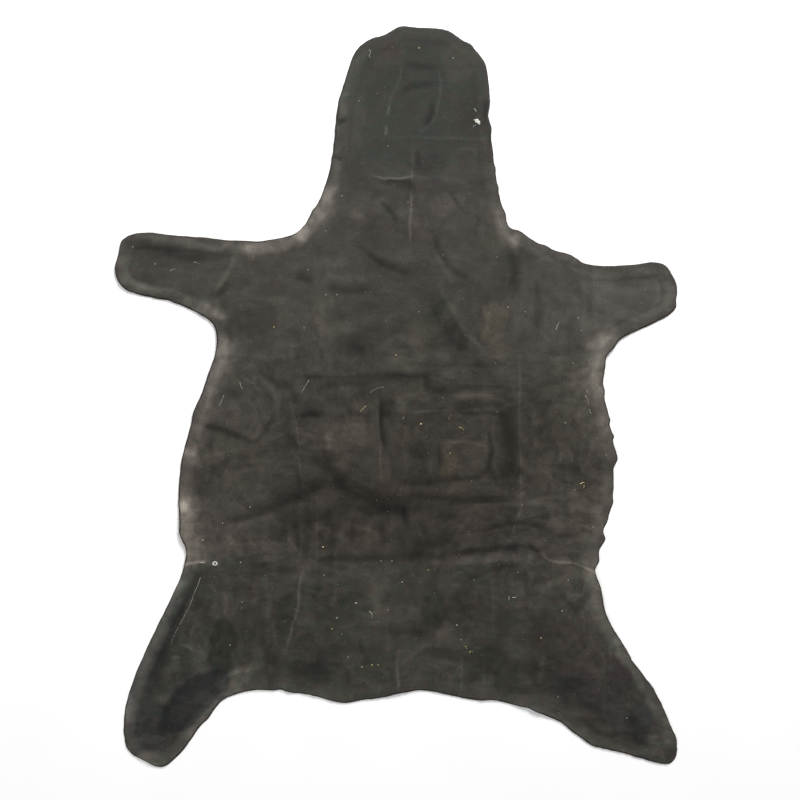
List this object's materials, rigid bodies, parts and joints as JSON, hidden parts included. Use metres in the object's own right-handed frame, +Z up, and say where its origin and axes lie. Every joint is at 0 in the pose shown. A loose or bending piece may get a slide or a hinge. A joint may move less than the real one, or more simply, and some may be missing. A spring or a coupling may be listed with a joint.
{
  "type": "zebra skin rug",
  "caption": "Flat animal-shaped zebra skin rug lying hair side down, with a dark brushed felt lining turned under in a hem along its edge.",
  "frame": {"origin": "on the floor, in the middle of the rug's footprint", "axes": "+Z up from the floor towards the lining, +Y along the spine towards the head end, +X to the right seen from above"},
  "size_m": [1.6872, 2.223, 0.018],
  "materials": {
    "striped_hide": "short cream hair with near-black stripes on tanned skin, matt",
    "lining_felt": "dark warm grey brushed felt, matt, stained and dusty"
  },
  "bodies": {
    "root": {"hide": "striped_hide", "lining": "lining_felt"}
  },
  "joints": []
}
